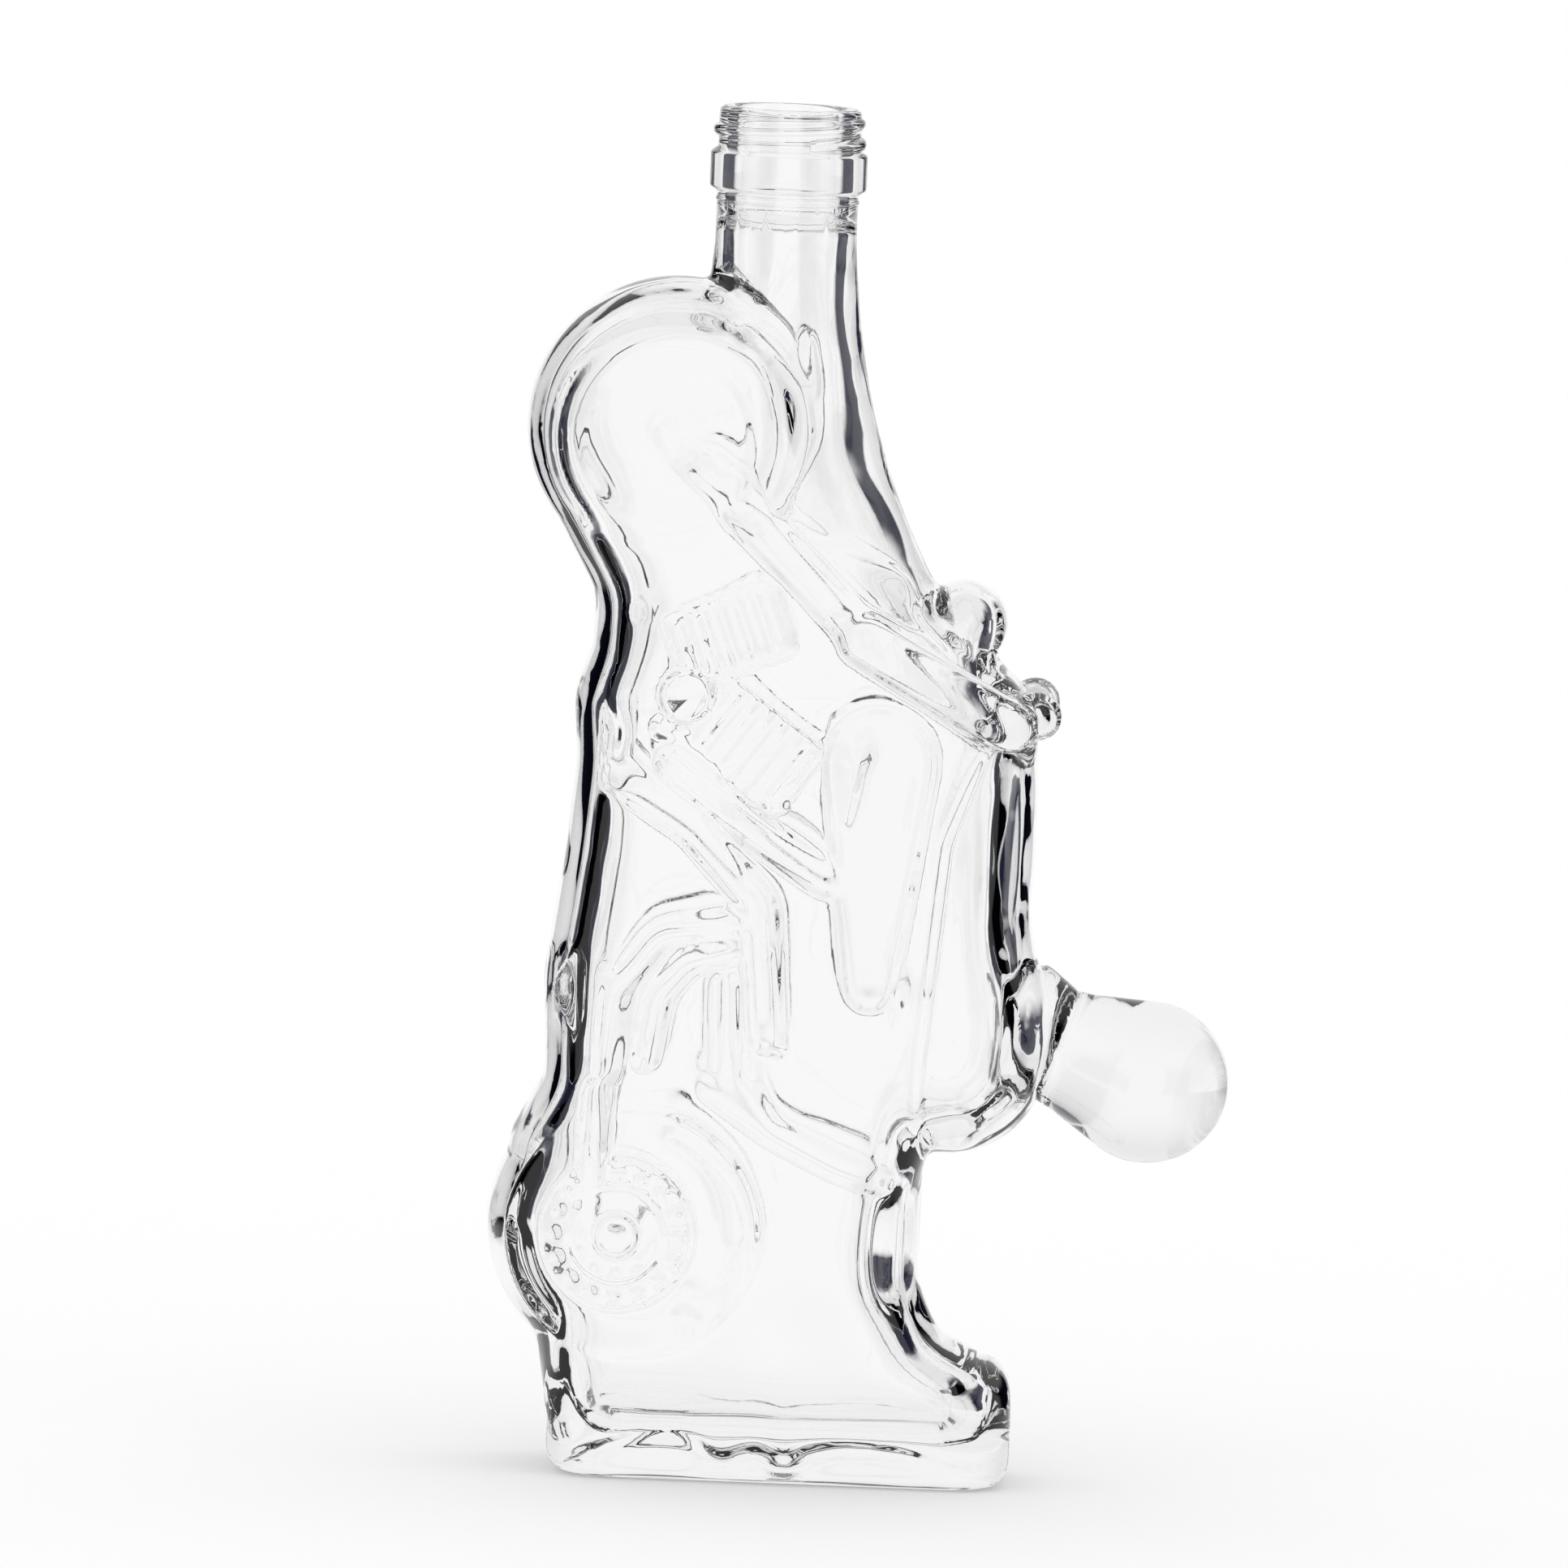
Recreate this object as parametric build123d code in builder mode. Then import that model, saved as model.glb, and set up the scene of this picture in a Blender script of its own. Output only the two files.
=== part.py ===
"""Clear glass figural liquor bottle shaped as a motorcycle standing on its back wheel.

The bottle is three pieces of glass fused together: the blown figural body, the neck finish that
the neck ring forms, and the solid glass ball run onto the tail of the saddle.

Frame: millimetres, +Z up, the bottle standing on z = 0, x = 0 in the middle of the overall width.
The side view is the XZ plane, the mould parts along y = 0, and both sides carry the same relief.
"""

from build123d import *
import os
from math import acos, atan2, cos, hypot, radians, sin

os.makedirs("parts", exist_ok=True)

# Overall size
half_width = 65.8  # from the middle to the rear tyre on the left and to the ball on the right
total_height = 245.2

# Neck finish for a 28 mm roll-on cap
finish_height = 18.2
mouth_r = 9.4
lip_r = 12.7
lip_round = 1.3
thread_r = 13.7
thread_pitch = 3.8
thread_turns = 1.25
thread_start_deg = -75.0
thread_drop = 2.3  # from the lip down to the middle of the thread's upper end
thread_width = 2.4
thread_crest = 1.0
thread_root = 0.8  # how far the thread is rooted in the lip's wall
bead_r = 14.0
bead_drop = 7.4  # from the lip down to the top of the locking bead
bead_height = 7.9
bead_top_taper = 1.2
bead_foot_taper = 1.1
bead_round = 0.5

# Neck of the body
neck_r = 12.6

# Glass walls
side_wall = 4.6
face_wall = 3.6
column_wall = 3.2
column_side_wall = 5.0
plinth_wall = 5.5
floor_wall = 6.5

# Half depths of the figure's masses, from the mould parting to the face
frame_half_depth = 18.5
wheel_half_depth = 19.5
column_half_depth = 16.8
frame_rim = 6.0
front_wheel_rim = 7.0
rear_wheel_rim = 6.0
column_rim = 7.5
cavity_rim = 4.5
frame_corner = 6.5
column_corner = 7.0

# Wheels
front_wheel_r = 26.8
rear_wheel_r = 25.8
front_tyre_r = 19.6
tyre_stand = 0.5
tyre_round = 0.4
front_disc_r = 15.4
rear_disc_r = 13.4
rear_ring_r = 8.6
disc_stand = 1.0
hub_r = 3.7
hub_stand = 1.6
edge_round = 0.45
front_fender_inset = 2.6
front_fender_band = 3.6
fender_stand = 0.9
fender_round = 1.2
fender_corner = 1.6
fender_start_deg = -38.0
fender_sweep_deg = 100.0
rear_fender_inset = 3.0
rear_fender_band = 4.8
rear_fender_start_deg = -3.0
rear_fender_sweep_deg = 76.0
dot_r = 0.9
dot_count = 16
dot_ring_r = 11.0
caliper_length = 4.4
caliper_width = 2.8

# Fork, headlamp and handlebar
fork_r = 3.3
fork_stand = 2.4
fork_round = 1.8
fork_sleeve_r = 4.6
fork_sleeve_stand = 3.4
axle_clamp_length = 9.0
axle_clamp_width = 5.4
lamp_r = 7.6
lamp_half_depth = 11.0
lamp_rim = 5.5
lamp_cavity_rim = 3.0
bar_r = 3.7
bar_half_length = 19.0
grip_r = 4.6
grip_length = 9.0
grip_round = 4.4

# Tank, engine and pipes
tank_top_r = 9.8
tank_foot_r = 4.3
tank_stand = 2.4
tank_round = 2.1
cap_r = 2.4
fin_count = 6
fin_pitch = 3.3
fin_width = 11.5
fin_thick = 2.0
fin_stand = 1.5
block_stand = 0.7
cover_r = 4.6
cover_stand = 1.9
cam_r = 1.9
cam_count = 7
cam_pitch = 4.0
cam_turn_deg = -31.5
cam_stand = 0.9
pipe_r = 3.0
pipe_stand = 2.2
pipe_round = 1.6
guard_r = 2.2
guard_stand = 1.8
guard_round = 1.2
relief_bend = 6.0

# Saddle and ball
saddle_r = 17.3
saddle_wall = 4.4
saddle_reach = 17.6  # along the ball's axis, from the joint plane to the saddle's middle
saddle_drop = 9.2  # across the ball's axis, downwards
ball_r = 14.5
ball_joint_r = 10.3
ball_joint_reach = 16.8  # from the ball's middle to the plane where it's fused on
ball_lean_deg = 20.1
boss_root_r = 13.0
boss_length = 8.0

# Plinth
plinth_length = 82.9
plinth_corner_r = 11.0
plinth_height = 23.0
plinth_round = 6.0
heel_round = 4.5
bearing_width = 4.0
base_recess = 0.9

# Engine cylinders' lean from the length of the bottle's side view
front_cylinder_turn_deg = 21.0
rear_cylinder_turn_deg = -36.0

# Places in the side view, as shares of half_width and total_height
neck_x_share = -0.293
plinth_x_share = -0.185
front_wheel_share = (-0.567, 0.7647)
front_hub_share = (-0.600, 0.7586)
rear_wheel_z_share = 0.1803
rear_hub_share = (-0.645, 0.1803)
caliper_share = (-0.444, 0.1210)
axle_share = (-0.585, 0.7647)
axle_clamp_share = (-0.442, 0.7360)
fork_joint_share = (-0.032, 0.6215)
fork_crown_share = (0.365, 0.5610)
lamp_share = (0.238, 0.6300)
lamp_root_share = (0.180, 0.5900)
bar_share = (0.437, 0.5683)
tank_top_share = (0.020, 0.5300)
tank_foot_share = (0.014, 0.3680)
tank_cap_share = (-0.044, 0.5380)
front_cylinder_share = (-0.402, 0.6190)
rear_cylinder_share = (-0.324, 0.5410)
cover_share = (-0.511, 0.5746)
cams_share = (-0.4155, 0.5255)
ball_z_share = 0.2985

# Outlines and runs of relief in the side view, as shares of half_width and total_height
frame_outline_shares = (
    (-0.790, 0.0150), (-0.868, 0.1060), (-0.880, 0.1800), (-0.955, 0.2400), (-0.858, 0.2900),
    (-0.870, 0.3640), (-0.824, 0.4570), (-0.803, 0.5220), (-0.818, 0.5670), (-0.772, 0.6060),
    (-0.768, 0.6400), (-0.890, 0.7000), (-0.740, 0.7600), (-0.456, 0.7300), (-0.200, 0.7250),
    (0.060, 0.6700), (0.320, 0.5950), (0.380, 0.5500), (0.270, 0.4700), (0.230, 0.3500),
    (0.205, 0.2600), (0.180, 0.2280), (0.176, 0.1500), (0.240, 0.1120), (0.370, 0.0930),
    (0.400, 0.0150),
)
column_outline_shares = (
    (-0.040, 0.6500), (0.190, 0.6440), (0.345, 0.6000), (0.440, 0.5700), (0.452, 0.5100),
    (0.450, 0.4500), (0.442, 0.4220), (0.480, 0.3680), (0.500, 0.3300), (0.465, 0.2800),
    (0.300, 0.2440), (0.060, 0.2500), (-0.020, 0.3100), (-0.010, 0.3800), (0.010, 0.4700),
    (-0.010, 0.5600),
)
front_pipe_shares = ((-0.684, 0.5140), (-0.480, 0.4800), (-0.290, 0.4250), (-0.262, 0.3300))
rear_pipe_shares = ((-0.540, 0.5240), (-0.330, 0.4820), (-0.110, 0.4450))
guard_shares = ((-0.690, 0.3000), (-0.680, 0.3560), (-0.560, 0.4020), (-0.352, 0.4120))
inner_guard_shares = ((-0.585, 0.3100), (-0.560, 0.3560), (-0.480, 0.3830), (-0.375, 0.3900))
strut_shares = ((-0.375, 0.3650), (-0.365, 0.3000), (-0.255, 0.2660))
swing_arm_shares = ((-0.715, 0.2850), (-0.722, 0.2300), (-0.730, 0.1850))
tail_tube_shares = ((-0.400, 0.2900), (-0.230, 0.2590), (-0.060, 0.2370), (0.060, 0.2260))

# Shoulder sections: the height as a share of joint_z, the middle as a share of half_width, the half
# breadth and half depth as shares of neck_r, and the wall as a share of the neck's wall
shoulder_section_shares = (
    (0.9786, neck_x_share, 1.000, 1.000, 1.000),
    (0.9073, -0.290, 1.110, 1.130, 1.350),
    (0.8155, -0.245, 1.240, 1.290, 1.650),
    (0.7291, -0.130, 1.280, 1.370, 1.650),
    (0.6535, 0.030, 1.300, 1.400, 1.400),
)


def spot(share):
    """The point of the side view that a pair of shares stands for."""
    return (share[0] * half_width, share[1] * total_height)


def spots(shares):
    """The points of the side view that a table of shares stands for."""
    return [spot(share) for share in shares]


def slab(outline, half_depth, rim):
    """A mass of the figure: an outline of the side view, thick both ways, with its rims rounded."""
    with BuildPart() as mass:
        with BuildSketch(Plane.XZ):
            add(outline)
        extrude(amount=half_depth, both=True)
        faces = mass.faces().sort_by(Axis.Y)
        fillet(faces[0].edges() + faces[-1].edges(), radius=rim)
    return mass.part


def shoulder(wall):
    """The shoulder and the upper neck, drawn in by the wall."""
    with BuildPart() as mass:
        for height, middle, breadth, depth, wall_share in shoulder_section_shares:
            with BuildSketch(Plane.XY.offset(height * joint_z)):
                with Locations((middle * half_width, 0)):
                    Ellipse(breadth * neck_r - wall_share * wall, depth * neck_r - wall_share * wall)
        loft()
        with BuildSketch(Plane.XY.offset(joint_z)):
            with Locations((neck_x, 0)):
                Circle(neck_r - wall)
        extrude(amount=(shoulder_section_shares[0][0] - 1) * joint_z)
    return mass.part


def boss(outline, top, rounding):
    """Relief with the outline, standing from the mould parting to the depth, its edge rounded."""
    with BuildPart() as relief:
        with BuildSketch(Plane.XZ):
            add(outline)
        extrude(amount=top)
        fillet(relief.faces().sort_by(Axis.Y)[0].edges(), radius=rounding)
    return relief.part


def dot(place, radius):
    """The outline of a round boss."""
    with BuildSketch() as outline:
        with Locations(place):
            Circle(radius)
    return outline.sketch


def bar(points, radius):
    """The outline of a bar along the points, with round ends."""
    with BuildSketch() as outline:
        with BuildLine() as route:
            if len(points) > 2:
                FilletPolyline(*points, radius=relief_bend)
            else:
                Line(*points)
        trace(route.line, line_width=2 * radius)
        with Locations(points[0], points[-1]):
            Circle(radius)
    return outline.sketch


def arc_band(place, outer_r, width, start_deg, sweep_deg):
    """The outline of a fender: a band of a ring, with its corners rounded."""
    with BuildSketch() as outline:
        with BuildLine():
            outer_arc = CenterArc(place, outer_r, start_deg, sweep_deg)
            inner_arc = CenterArc(place, outer_r - width, start_deg, sweep_deg)
            Line(outer_arc @ 0, inner_arc @ 0)
            Line(outer_arc @ 1, inner_arc @ 1)
        make_face()
        fillet(outline.vertices(), radius=fender_corner)
    return outline.sketch


# Datums that several pieces share
joint_z = total_height - finish_height
rear_wheel_place = (rear_wheel_r - half_width, rear_wheel_z_share * total_height)
wheels = (
    (spot(front_wheel_share), front_wheel_r, frame_half_depth, front_wheel_rim),
    (rear_wheel_place, rear_wheel_r, wheel_half_depth, rear_wheel_rim),
)
neck_x = neck_x_share * half_width
plinth_x = plinth_x_share * half_width
plinth_depth = 2 * frame_half_depth
ball_x = half_width - ball_r
ball_z = ball_z_share * total_height
ball_axis = Vector(-cos(radians(ball_lean_deg)), 0, sin(radians(ball_lean_deg)))
ball_plane = Plane(origin=(ball_x, 0, ball_z), x_dir=(0, 1, 0), z_dir=tuple(ball_axis))
ball_section_plane = Plane(origin=(ball_x, 0, ball_z), x_dir=tuple(ball_axis), z_dir=(0, -1, 0))
joint_rim_distance = hypot(ball_joint_reach, ball_joint_r)
waist_angle = atan2(ball_joint_r, ball_joint_reach) + acos(ball_r / joint_rim_distance)
ball_waist = (ball_r * cos(waist_angle), ball_r * sin(waist_angle))
saddle_place = (
    Vector(ball_x, 0, ball_z)
    + ball_axis * (ball_joint_reach + saddle_reach)
    + Vector(-ball_axis.Z, 0, ball_axis.X) * saddle_drop
)
bar_x, bar_z = spot(bar_share)
finish_plane = Plane(origin=(neck_x, 0, joint_z), x_dir=(1, 0, 0), z_dir=(0, -1, 0))
finish_axis = Axis((neck_x, 0, 0), (0, 0, 1))

# Outlines of the masses and of the hollows in them
with BuildSketch() as frame_outline:
    with BuildLine():
        Polyline(*spots(frame_outline_shares), close=True)
    make_face()
    fillet(frame_outline.vertices(), radius=frame_corner)

with BuildSketch() as frame_hollow:
    add(frame_outline.sketch)
    offset(amount=-side_wall)

with BuildSketch() as column_outline:
    with BuildLine():
        Polyline(*spots(column_outline_shares), close=True)
    make_face()
    fillet(column_outline.vertices(), radius=column_corner)

with BuildSketch() as column_hollow:
    add(column_outline.sketch)
    offset(amount=-column_side_wall)

# Plinth, with a flat ring to stand on round a shallow recess
with BuildPart() as plinth:
    with BuildSketch():
        with Locations((plinth_x, 0)):
            RectangleRounded(plinth_length, plinth_depth, plinth_corner_r)
    extrude(amount=plinth_height)
    fillet(plinth.faces().sort_by(Axis.Z)[-1].edges(), radius=plinth_round)
    fillet(plinth.faces().sort_by(Axis.Z)[0].edges(), radius=heel_round)

with BuildPart() as plinth_recess:
    with BuildSketch():
        with Locations((plinth_x, 0)):
            RectangleRounded(
                plinth_length - 2 * (heel_round + bearing_width),
                plinth_depth - 2 * (heel_round + bearing_width),
                plinth_corner_r - heel_round - bearing_width,
            )
    extrude(amount=base_recess)
    fillet(plinth_recess.faces().sort_by(Axis.Z)[-1].edges(), radius=base_recess / 2)

with BuildPart() as plinth_hollow:
    with BuildSketch(Plane.XY.offset(floor_wall)):
        with Locations((plinth_x, 0)):
            RectangleRounded(
                plinth_length - 2 * plinth_wall,
                plinth_depth - 2 * plinth_wall,
                plinth_corner_r - plinth_wall,
            )
    extrude(amount=plinth_height - floor_wall - face_wall)
    fillet(plinth_hollow.faces().sort_by(Axis.Z)[0].edges(), radius=heel_round)
    fillet(plinth_hollow.faces().sort_by(Axis.Z)[-1].edges(), radius=cavity_rim)

# Boss on the tail of the saddle, up to the plane where the ball is fused on
with BuildPart() as ball_boss:
    with BuildSketch(ball_plane.offset(ball_joint_reach)):
        Circle(ball_joint_r)
    with BuildSketch(ball_plane.offset(ball_joint_reach + boss_length)):
        Circle(boss_root_r)
    loft()

# Grips at the ends of the handlebar
with BuildPart() as grips:
    for side in (-1, 1):
        with Locations(Location((bar_x, side * (bar_half_length - grip_length / 2), bar_z), (90, 0, 0))):
            Cylinder(grip_r, grip_length)
    fillet(grips.edges().filter_by(GeomType.CIRCLE), radius=grip_round)

# Space past the plane where the ball is fused on, which the body keeps clear of
with BuildPart() as ball_clearance:
    with BuildSketch(ball_plane.offset(ball_joint_reach)):
        Circle(2 * ball_r)
    extrude(amount=-2 * ball_r)

# Relief on one side of the figure
front_fender = arc_band(
    spot(front_wheel_share),
    front_wheel_r - front_fender_inset,
    front_fender_band,
    fender_start_deg,
    fender_sweep_deg,
)
rear_fender = arc_band(
    rear_wheel_place,
    rear_wheel_r - rear_fender_inset,
    rear_fender_band,
    rear_fender_start_deg,
    rear_fender_sweep_deg,
)

with BuildSketch() as dots:
    with Locations(spot(rear_hub_share)):
        with PolarLocations(dot_ring_r, dot_count):
            Circle(dot_r)

with BuildSketch() as caliper:
    with Locations(spot(caliper_share)):
        Rectangle(caliper_length, caliper_width, rotation=rear_cylinder_turn_deg)
    fillet(caliper.vertices(), radius=edge_round)

with BuildSketch() as tank:
    with Locations(spot(tank_top_share)):
        Circle(tank_top_r)
    with Locations(spot(tank_foot_share)):
        Circle(tank_foot_r)
    make_hull()

with BuildSketch() as fins:
    for place, turn in (
        (spot(front_cylinder_share), front_cylinder_turn_deg),
        (spot(rear_cylinder_share), rear_cylinder_turn_deg),
    ):
        with Locations(Location((*place, 0), (0, 0, turn))):
            with GridLocations(fin_pitch, 0, fin_count, 1):
                SlotOverall(fin_width, fin_thick, rotation=90)

with BuildSketch() as blocks:
    for place, turn in (
        (spot(front_cylinder_share), front_cylinder_turn_deg),
        (spot(rear_cylinder_share), rear_cylinder_turn_deg),
    ):
        with Locations(Location((*place, 0), (0, 0, turn))):
            RectangleRounded(fin_count * fin_pitch + fin_thick, fin_width + fin_thick, fin_thick)

with BuildSketch() as cams:
    with Locations(Location((*spot(cams_share), 0), (0, 0, cam_turn_deg))):
        with GridLocations(cam_pitch, 0, cam_count, 1):
            Circle(cam_r)

with BuildSketch() as axle_clamp:
    with Locations(spot(axle_clamp_share)):
        Rectangle(axle_clamp_length, axle_clamp_width, rotation=rear_cylinder_turn_deg)
    fillet(axle_clamp.vertices(), radius=edge_round)

wheel_face = wheel_half_depth
frame_face = frame_half_depth
disc_face = wheel_face + disc_stand
brake_face = disc_face + disc_stand
fork_run = bar([spot(axle_share), spot(fork_joint_share)], fork_r)
sleeve_run = bar([spot(fork_joint_share), spot(fork_crown_share)], fork_sleeve_r)

with BuildPart() as relief:
    for outline, top, rounding in (
        (front_fender, frame_face + fender_stand, fender_round),
        (rear_fender, wheel_face + fender_stand, fender_round),
        (dot(spot(front_hub_share), front_tyre_r), frame_face + tyre_stand, tyre_round),
        (dot(spot(front_hub_share), front_disc_r), frame_face + tyre_stand + disc_stand, edge_round),
        (dot(spot(rear_hub_share), rear_disc_r), disc_face, edge_round),
        (dots.sketch, brake_face, edge_round),
        (dot(spot(rear_hub_share), rear_ring_r), brake_face, edge_round),
        (dot(spot(rear_hub_share), hub_r), brake_face + hub_stand, edge_round),
        (caliper.sketch, disc_face, edge_round),
        (axle_clamp.sketch, frame_face + fork_sleeve_stand, edge_round),
        (fork_run, frame_face + fork_stand, fork_round),
        (sleeve_run, frame_face + fork_sleeve_stand, fork_round),
        (tank.sketch, frame_face + tank_stand, tank_round),
        (dot(spot(tank_cap_share), cap_r), frame_face + tank_stand + disc_stand, edge_round),
        (blocks.sketch, frame_face + block_stand, edge_round),
        (fins.sketch, frame_face + fin_stand, edge_round),
        (dot(spot(cover_share), cover_r), frame_face + cover_stand, edge_round),
        (cams.sketch, frame_face + cam_stand, edge_round),
        (bar(spots(front_pipe_shares), pipe_r), frame_face + pipe_stand, pipe_round),
        (bar(spots(rear_pipe_shares), pipe_r), frame_face + pipe_stand, pipe_round),
        (bar(spots(guard_shares), guard_r), frame_face + guard_stand, guard_round),
        (bar(spots(inner_guard_shares), guard_r), frame_face + guard_stand, guard_round),
        (bar(spots(strut_shares), guard_r), frame_face + guard_stand, guard_round),
        (bar(spots(swing_arm_shares), guard_r), wheel_face + guard_stand, guard_round),
        (bar(spots(tail_tube_shares), guard_r), frame_face + guard_stand, guard_round),
    ):
        add(boss(outline, top, rounding))

# The space inside, which follows the masses and leaves out their relief
lamp_hollow = bar([spot(lamp_share), spot(lamp_root_share)], lamp_r - column_wall)

with BuildPart() as hollow:
    add(slab(frame_hollow.sketch, frame_half_depth - face_wall, cavity_rim))
    for place, radius, half_depth, rim in wheels:
        add(slab(dot(place, radius - side_wall), half_depth - face_wall, max(rim, cavity_rim)))
    add(slab(column_hollow.sketch, column_half_depth - column_wall, cavity_rim))
    add(shoulder(neck_r - mouth_r))
    add(plinth_hollow.part)
    with Locations(saddle_place):
        Sphere(saddle_r - saddle_wall)
    add(slab(lamp_hollow, lamp_half_depth - column_wall, lamp_cavity_rim))

# Figural body
with BuildPart() as figural_body:
    add(slab(frame_outline.sketch, frame_half_depth, frame_rim))
    for place, radius, half_depth, rim in wheels:
        add(slab(dot(place, radius), half_depth, rim))
    add(slab(column_outline.sketch, column_half_depth, column_rim))
    add(shoulder(0))
    add(plinth.part)
    add(ball_boss.part)
    with Locations(saddle_place):
        Sphere(saddle_r)
    add(slab(dot(spot(lamp_share), lamp_r), lamp_half_depth, lamp_rim))
    with Locations(Location((bar_x, 0, bar_z), (90, 0, 0))):
        Cylinder(bar_r, 2 * bar_half_length)
    add(grips.part)
    add(relief.part)
    mirror(relief.part, about=Plane.XZ)
    add(hollow.part, mode=Mode.SUBTRACT)
    add(plinth_recess.part, mode=Mode.SUBTRACT)
    add(ball_clearance.part, mode=Mode.SUBTRACT)
figural_body.part.label = "figural_body"
export_step(figural_body.part, "parts/figural_body.step")

# Neck finish
thread_height = thread_pitch * thread_turns
bead_top = finish_height - bead_drop
bead_foot = bead_top - bead_height

with BuildPart() as thread:
    with BuildLine() as thread_line:
        Helix(
            thread_pitch,
            thread_height,
            lip_r,
            center=(neck_x, 0, total_height - thread_drop - thread_height),
        )
    thread_end = thread_line.line @ 0
    with BuildSketch(Plane(origin=thread_end, x_dir=(1, 0, 0), z_dir=thread_line.line % 0)):
        with BuildLine():
            Polyline(
                (-thread_root, -thread_width / 2),
                (thread_r - lip_r, -thread_crest / 2),
                (thread_r - lip_r, thread_crest / 2),
                (-thread_root, thread_width / 2),
                close=True,
            )
        make_face()
    sweep(path=thread_line.line, is_frenet=True)

with BuildPart() as neck_finish:
    with BuildSketch(finish_plane) as finish_section:
        with BuildLine():
            Polyline(
                (mouth_r, 0),
                (neck_r, 0),
                (neck_r, bead_foot),
                (bead_r, bead_foot + bead_foot_taper),
                (bead_r, bead_top - bead_top_taper),
                (lip_r, bead_top),
                (lip_r, finish_height),
                (mouth_r, finish_height),
                close=True,
            )
        make_face()
        fillet(finish_section.vertices().sort_by(Axis.Y)[-2:], radius=lip_round)
        fillet(finish_section.vertices().sort_by(Axis.X)[-2:], radius=bead_round)
    revolve(axis=finish_axis)
    add(thread.part.rotate(finish_axis, thread_start_deg))
neck_finish.part.label = "neck_finish"
export_step(neck_finish.part, "parts/neck_finish.step")

# Tail ball
with BuildPart() as tail_ball:
    with BuildSketch(ball_section_plane):
        with BuildLine():
            Line((ball_joint_reach, 0), (ball_joint_reach, ball_joint_r))
            Line((ball_joint_reach, ball_joint_r), ball_waist)
            ThreePointArc(ball_waist, (0, ball_r), (-ball_r, 0))
            Line((-ball_r, 0), (ball_joint_reach, 0))
        make_face()
    revolve(axis=Axis((ball_x, 0, ball_z), tuple(ball_axis)))
tail_ball.part.label = "tail_ball"
export_step(tail_ball.part, "parts/tail_ball.step")
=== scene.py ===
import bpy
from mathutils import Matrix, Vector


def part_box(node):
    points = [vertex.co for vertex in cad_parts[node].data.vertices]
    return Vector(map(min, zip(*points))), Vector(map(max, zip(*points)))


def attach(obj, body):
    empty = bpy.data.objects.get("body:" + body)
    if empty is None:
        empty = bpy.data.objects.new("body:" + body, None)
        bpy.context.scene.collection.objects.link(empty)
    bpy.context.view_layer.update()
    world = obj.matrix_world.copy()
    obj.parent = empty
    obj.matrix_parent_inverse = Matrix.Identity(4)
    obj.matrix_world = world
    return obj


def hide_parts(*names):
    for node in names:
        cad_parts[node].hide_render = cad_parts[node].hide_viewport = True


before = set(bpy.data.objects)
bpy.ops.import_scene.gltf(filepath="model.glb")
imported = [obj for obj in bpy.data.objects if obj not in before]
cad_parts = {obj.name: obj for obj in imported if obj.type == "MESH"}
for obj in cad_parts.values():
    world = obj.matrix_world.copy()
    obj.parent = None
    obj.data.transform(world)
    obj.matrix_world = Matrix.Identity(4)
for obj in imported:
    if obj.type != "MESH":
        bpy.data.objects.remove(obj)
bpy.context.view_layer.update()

import logging
import math
from dataclasses import dataclass, field
from enum import Enum
from typing import Any, Callable

import bpy
from mathutils import Matrix, Vector

LOG = logging.getLogger("figural_bottle")

MM = 0.001  # metres in a millimetre
PHOTO_SIDE = 1932  # pixels along each side of the photograph
WHITE = (1.0, 1.0, 1.0, 1.0)

Spot = tuple[float, float]
Range = tuple[float, float]
Colour = tuple[float, float, float, float]


class Fusion(Enum):
    """How one solid is worked into another."""

    JOIN = "UNION"
    CUT = "DIFFERENCE"


class Side(Enum):
    """The two faces of the figure, by the sign of y."""

    FRONT = -1
    BACK = 1


def activate(piece: bpy.types.Object) -> None:
    """Selects one object alone and makes it active.

    Args:
        piece: The object that the next operators act on.
    """
    bpy.ops.object.select_all(action="DESELECT")
    piece.select_set(True)
    bpy.context.view_layer.objects.active = piece


def apply_modifier(piece: bpy.types.Object, kind: str, **settings: Any) -> None:
    """Adds a modifier to an object and applies it.

    Args:
        piece: The object to change.
        kind: The modifier's type, as Blender names it.
        **settings: The modifier's settings.
    """
    modifier = piece.modifiers.new(kind.lower(), kind)
    for name, value in settings.items():
        setattr(modifier, name, value)
    activate(piece)
    bpy.ops.object.modifier_apply(modifier=modifier.name)


def fuse(piece: bpy.types.Object, other: bpy.types.Object, fusion: Fusion) -> None:
    """Joins a closed solid to another or cuts it out of it, and uses it up.

    Args:
        piece: The solid that stays.
        other: The solid that is used up.
        fusion: Whether it is joined or cut.
    """
    apply_modifier(piece, "BOOLEAN", operation=fusion.value, object=other, solver="MANIFOLD")
    bpy.data.objects.remove(other, do_unlink=True)


def smooth(piece: bpy.types.Object, rounds: int, group: str = "") -> None:
    """Draws each point halfway to its neighbours, some rounds over.

    Args:
        piece: The object.
        rounds: How many rounds.
        group: The vertex group that weighs it, or none for all points alike.
    """
    apply_modifier(piece, "SMOOTH", factor=0.5, iterations=rounds, vertex_group=group)


def weld(piece: bpy.types.Object, distance: float) -> None:
    """Merges an object's points that lie together and turns its faces outwards.

    Args:
        piece: The object.
        distance: How near such points lie.
    """
    activate(piece)
    bpy.ops.object.mode_set(mode="EDIT")
    bpy.ops.mesh.select_all(action="SELECT")
    bpy.ops.mesh.remove_doubles(threshold=distance)
    bpy.ops.mesh.normals_make_consistent(inside=False)
    bpy.ops.object.mode_set(mode="OBJECT")


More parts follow.
